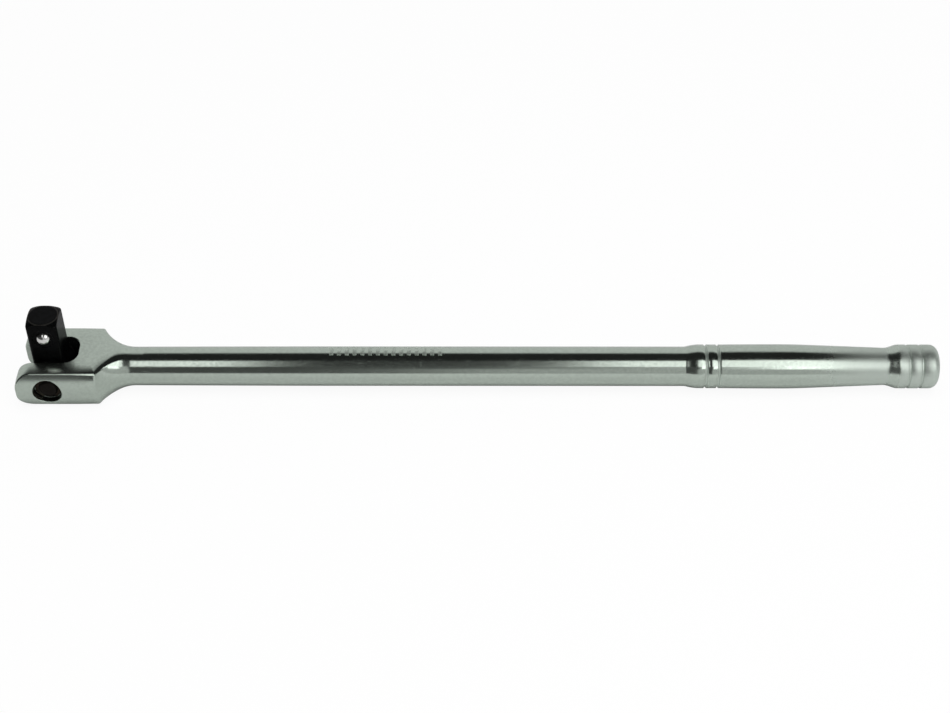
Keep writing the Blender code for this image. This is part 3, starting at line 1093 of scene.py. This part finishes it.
@dataclass
class PressedBall:
    """A ball that a spring presses outwards, and that spring."""

    node: str
    name: str
    body: str
    spring_node: str
    spring_name: str
    spring_body: str
    joint: str
    axis: Axis
    travel: float
    turns: int
    wire: float = 0.00035
    steps: int = 28                 # stretches of wire in a turn

    def build_ball(self, material: Material) -> Object:
        """Make the ball and return the piece."""
        low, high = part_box(self.node)
        work = bmesh.new()
        place = Matrix.Translation((low + high) / 2)
        radius = (high.z - low.z) / 2
        bmesh.ops.create_icosphere(work, subdivisions=5, radius=radius, matrix=place)
        return finish_piece(work, self.name, material, self.body, [self.node])

    def build_spring(self, material: Material) -> Object:
        """Coil the wire along the bore and return the piece."""
        low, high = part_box(self.spring_node)
        middle = (low + high) / 2
        direction = self.axis.value
        length = (high - low).dot(direction) - 2 * self.wire
        coil = (high.z - low.z) / 2 - self.wire
        start = middle - direction * (length / 2)
        work = bmesh.new()
        across = Matrix.Translation(start + Vector((0.0, 0.0, coil)))
        turned = Matrix.Rotation(pi / 2, 4, direction)
        bmesh.ops.create_circle(
            work, cap_ends=True, segments=12, radius=self.wire, matrix=across @ turned)
        steps = self.steps * self.turns
        bmesh.ops.spin(
            work, geom=[*work.verts, *work.edges, *work.faces], cent=start, axis=direction,
            dvec=direction * (length / steps), angle=tau * self.turns, steps=steps)
        bmesh.ops.remove_doubles(work, verts=work.verts, dist=WELD)
        bmesh.ops.recalc_face_normals(work, faces=work.faces)
        piece = finish_piece(
            work, self.spring_name, material, self.spring_body, [self.spring_node],
            radians(60))
        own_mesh(piece)
        return piece


@dataclass
class RaisedBars:
    """A row of plain raised bars forged across the top of the shaft."""

    start: float = 0.1150
    stop: float = 0.1615
    count: int = 15
    width: float = 0.00165
    height: float = 0.00036
    sunk: float = 0.00020
    low_turn: float = radians(76)
    high_turn: float = radians(110)
    radius: float = 0.0082
    cuts: int = 14
    edge: float = 0.00022
    sharp: float = radians(50)

    def bent(self, point: Vector) -> Vector:
        """Wrap a place on a flat strip (along, round, up) round the shaft."""
        turn = point.y / self.radius
        out = self.radius + point.z
        return HINGE + Vector((point.x, -out * cos(turn), out * sin(turn)))

    def build(self, material: Material) -> Object:
        """Make each bar flat, ease its top edges, wrap it round and return the piece."""
        work = bmesh.new()
        pitch = (self.stop - self.start - self.width) / (self.count - 1)
        long = (self.high_turn - self.low_turn) * self.radius
        middle = (self.high_turn + self.low_turn) / 2 * self.radius
        deep = self.height + self.sunk
        for index in range(self.count):
            along = self.start + self.width / 2 + pitch * index
            place = Matrix.Translation((along, middle, self.height - deep / 2))
            size = Matrix.Diagonal((self.width, long, deep, 1.0))
            made = bmesh.ops.create_cube(work, size=1.0, matrix=place @ size)["verts"]
            lengthwise = {edge for vertex in made for edge in vertex.link_edges
                          if abs(edge.verts[0].co.y - edge.verts[1].co.y) > self.width}
            bmesh.ops.subdivide_edges(work, edges=list(lengthwise), cuts=self.cuts, use_grid_fill=True)
        upper = [edge for edge in work.edges
                 if edge.calc_face_angle(0.0) > self.sharp
                 and max(vertex.co.z for vertex in edge.verts) > 0.0]
        ease_edges(work, upper, self.edge, 4)
        for vertex in work.verts:
            vertex.co = self.bent(vertex.co)
        bmesh.ops.recalc_face_normals(work, faces=work.faces)
        return finish_piece(work, "raised_bars", material, "handle", (), self.sharp)


# -------------------------------------------------------------------- studio

@dataclass(frozen=True)
class SoftBox:
    """A rectangular lamp that stands in front of the bar and shows in its plating."""

    name: str
    start: float                # where it starts and stops along the bar
    stop: float
    low: float                  # how high it starts and stops, as angles seen from the bar
    high: float
    radiance: float
    reach: float = 0.70

    def build(self) -> None:
        """Make the lamp and turn it towards the bar."""
        rise = (self.low + self.high) / 2
        light = bpy.data.lights.new(self.name, "AREA")
        light.shape = "RECTANGLE"
        light.size = self.stop - self.start
        light.size_y = 2 * self.reach * tan((self.high - self.low) / 2)
        light.energy = self.radiance * pi * light.size * light.size_y
        lamp = in_scene(self.name, light)
        out = Vector((0.0, -cos(rise), sin(rise)))
        lamp.location = Vector(((self.start + self.stop) / 2, 0.0, HINGE.z)) + out * self.reach
        lamp.rotation_euler = (pi / 2 - rise, 0.0, 0.0)


@dataclass(frozen=True)
class Glow:
    """A band of light in the room, with soft edges."""

    strength: float
    low: float                  # its heights and their softness, in degrees up from in front
    high: float
    softness: float
    side: tuple[float, float] | None = None     # where it fades in, from left to right


@dataclass
class Studio:
    """A white table under a dark ceiling, a pale wall behind and soft lamps in front."""

    table_half: float = 4.0
    table_drop: float = 0.0002
    table_glow: float = 0.93                    # what the camera sees of the table
    table_faint: Color = (0.05, 0.05, 0.05)
    paper_in_painted_shade: float = 0.50                    # what the metal sees of it: darker near the bar as painted shade, plain far off
    far_paper: float = 0.54
    painted_shade_fade: tuple[float, float] = (0.010, 0.060)
    backdrop: float = 0.984
    ceiling: float = 0.018
    glows: tuple[Glow, ...] = (
        Glow(0.62, 125, 190, 6),
        Glow(0.055, -12, 40, 8),
        Glow(0.055, 40, 72, 8, (-0.09, 0.03)),
        Glow(0.42, -12, 27, 6, (-0.07, 0.03)),
        Glow(0.42, 27, 42, 6, (0.02, 0.08)),
    )
    soft_boxes: tuple[SoftBox, ...] = (
        SoftBox("left_lamp", -0.350, -0.190, radians(39), radians(73), 1.22),
        SoftBox("right_lamp", 0.088, 0.240, radians(40), radians(74), 1.25),
        SoftBox("far_lamp", 0.240, 1.200, radians(28), radians(76), 1.50),
    )
    overhead_size: float = 1.4
    overhead_energy: float = 24.0
    overhead_place: tuple[float, ...] = (0.0, -0.2, 1.5)

    def soft_window(self) -> NodeTree:
        """Return a group whose mask is 1 between two values, with soft ends."""
        sheet, given, made = new_group(
            "soft_window", {"Value": "Float", "Low": "Float", "High": "Float", "Softness": "Float"},
            {"Mask": "Float"})
        value, low, high, soft = (given.outputs[name] for name in ("Value", "Low", "High", "Softness"))
        rise = sheet.ramp(value, sheet.minus(low, soft), sheet.math("ADD", low, soft))
        fall = sheet.ramp(
            value, sheet.minus(high, soft), sheet.math("ADD", high, soft), 1.0, 0.0)
        sheet.feed(made.inputs["Mask"], sheet.times(rise, fall))
        return sheet.tree

    def build_world(self) -> None:
        """Light the room from all round, by direction."""
        world = bpy.data.worlds.new("studio")
        bpy.context.scene.world = world
        world.use_nodes = True
        sheet = Sheet(world.node_tree)
        way = sheet.add("SeparateXYZ", {"Vector": sheet.add("TexCoord").outputs["Generated"]})
        front = sheet.times(way.outputs["Y"], -1.0)
        rise = sheet.math("ARCTAN2", way.outputs["Z"], front)
        window = self.soft_window()
        parts = []
        for glow in self.glows:
            mask = use_group(sheet, window, {
                "Value": rise, "Low": radians(glow.low), "High": radians(glow.high),
                "Softness": radians(glow.softness)}).outputs["Mask"]
            if glow.side:
                mask = sheet.times(mask, sheet.ramp(way.outputs["X"], *glow.side))
            parts.append((mask, glow.strength))
        light = sheet.gray(sheet.plus(self.ceiling, *parts))
        room = sheet.add("Background", {"Color": light, "Strength": 1.0})
        seen = sheet.add("Background", {"Color": WHITE, "Strength": self.backdrop})
        sheet.show("World Output", room, seen)

    def build_table(self) -> None:
        """Lay the white table."""
        work = bmesh.new()
        place = Matrix.Translation((0.0, 0.0, -self.table_drop))
        bmesh.ops.create_grid(work, x_segments=8, y_segments=8, size=self.table_half, matrix=place)
        mesh = as_mesh(work, "table")
        material = bpy.data.materials.new("white_table")
        material.use_nodes = True
        sheet = Sheet(material.node_tree)
        split = sheet.add("SeparateXYZ", {"Vector": sheet.add("TexCoord").outputs["Object"]})
        away = sheet.math("ABSOLUTE", split.outputs["Y"])
        # painted shade: the paper that the metal sees is darker near the bar and fades to plain over
        # this reach
        shade = sheet.ramp(away, *self.painted_shade_fade, self.paper_in_painted_shade, self.far_paper)
        paper = sheet.add("BsdfDiffuse", {"Color": sheet.gray(shade)})
        faint = sheet.add("BsdfDiffuse", {"Color": (*self.table_faint, 1.0)})
        glow = sheet.add("Emission", {"Color": WHITE, "Strength": self.table_glow})
        seen = sheet.add("AddShader", {0: faint.outputs[0], 1: glow.outputs[0]})
        sheet.show("Material Output", paper, seen)
        mesh.materials.append(material)
        in_scene("table", mesh)

    def build_lamp(self) -> None:
        """Hang a wide soft lamp that lights the table and doesn't show in the metal."""
        light = bpy.data.lights.new("overhead", "AREA")
        light.shape = "DISK"
        light.size = self.overhead_size
        light.energy = self.overhead_energy
        lamp = in_scene("overhead", light)
        lamp.location = self.overhead_place
        lamp.visible_glossy = False

    def build(self) -> None:
        """Build the world, the table and the lamps."""
        bpy.context.scene.view_settings.view_transform = "Standard"
        self.build_world()
        self.build_table()
        self.build_lamp()
        for soft_box in self.soft_boxes:
            soft_box.build()


@dataclass
class ViewCamera:
    """The camera, placed from the hinge axis and looking down over the bar."""

    elevation: float = radians(42.9)
    turn: float = radians(0.12)
    roll: float = radians(0.047)
    distance: float = 0.7185
    aside: float = 0.1751
    above: float = 0.0039
    lens: float = 65.44
    sensor: float = 36.0

    def build(self) -> None:
        """Make the camera and set it as the scene's."""
        right = Vector((1.0, 0.0, 0.0))
        up = Vector((0.0, sin(self.elevation), cos(self.elevation)))
        ahead = Vector((0.0, cos(self.elevation), -sin(self.elevation)))
        spot = right * self.aside + up * self.above - ahead * self.distance
        facing = Matrix((right, up, -ahead)).transposed()
        swing = Matrix.Rotation(self.turn, 3, "Z")
        tilt = Matrix.Rotation(self.roll, 3, ahead)
        data = bpy.data.cameras.new("camera")
        data.lens = self.lens
        data.sensor_width = self.sensor
        data.clip_start = 0.01
        camera = in_scene("camera", data)
        turned = (swing @ tilt @ facing).to_4x4()
        camera.matrix_world = Matrix.Translation(HINGE + swing @ tilt @ spot) @ turned
        bpy.context.scene.camera = camera


def main() -> None:
    """Build the studio, the finishes and every piece, in order."""
    logging.basicConfig(level=logging.INFO, format="%(name)s: %(message)s")
    ViewCamera().build()
    Studio().build()
    effects = Effects()
    chrome = SatinChrome().build(effects)
    matt_chrome = SatinChrome(
        name="matt_chrome_plate", color=(0.70, 0.78, 0.70), polished=0.40).build(effects)
    black = BlackPhosphate().build(effects)
    pin_steel = SmallPartSteel(
        "dark_oiled_steel", (0.018, 0.016, 0.014), (0.012, 0.010, 0.008), 0.48).build(effects)
    spring_steel = SmallPartSteel(
        "brown_spring_steel", (0.040, 0.032, 0.025), (0.026, 0.019, 0.014), 0.42).build(effects)
    ball_steel = SmallPartSteel(
        "bright_ball_steel", (0.82, 0.82, 0.80), (0.74, 0.74, 0.73), 0.08).build(effects)

    ForgedHandle().build(chrome)
    RaisedBars().build(matt_chrome)
    DriveTang().build(black)
    hardware = HingeHardware()
    hardware.build_pin(pin_steel)
    hardware.build_ring("retaining_ring_near", "pin_ring_near", spring_steel)
    hardware.build_ring("retaining_ring_far", "pin_ring_far", spring_steel)
    detent = PressedBall(
        "detent_ball", "socket_ball", "detent_ball", "detent_spring", "socket_ball_spring",
        "drive_tang", "detent_press", Axis.ACROSS_FORK, 0.0015, 4)
    friction = PressedBall(
        "friction_ball", "hinge_drag_ball", "friction_ball", "friction_spring",
        "hinge_drag_spring", "handle", "friction_ball_press", Axis.ALONG_BAR, 0.0005, 7)
    for pressed in (detent, friction):
        pressed.build_ball(ball_steel)
        pressed.build_spring(spring_steel)


if __name__ == "__main__":
    main()
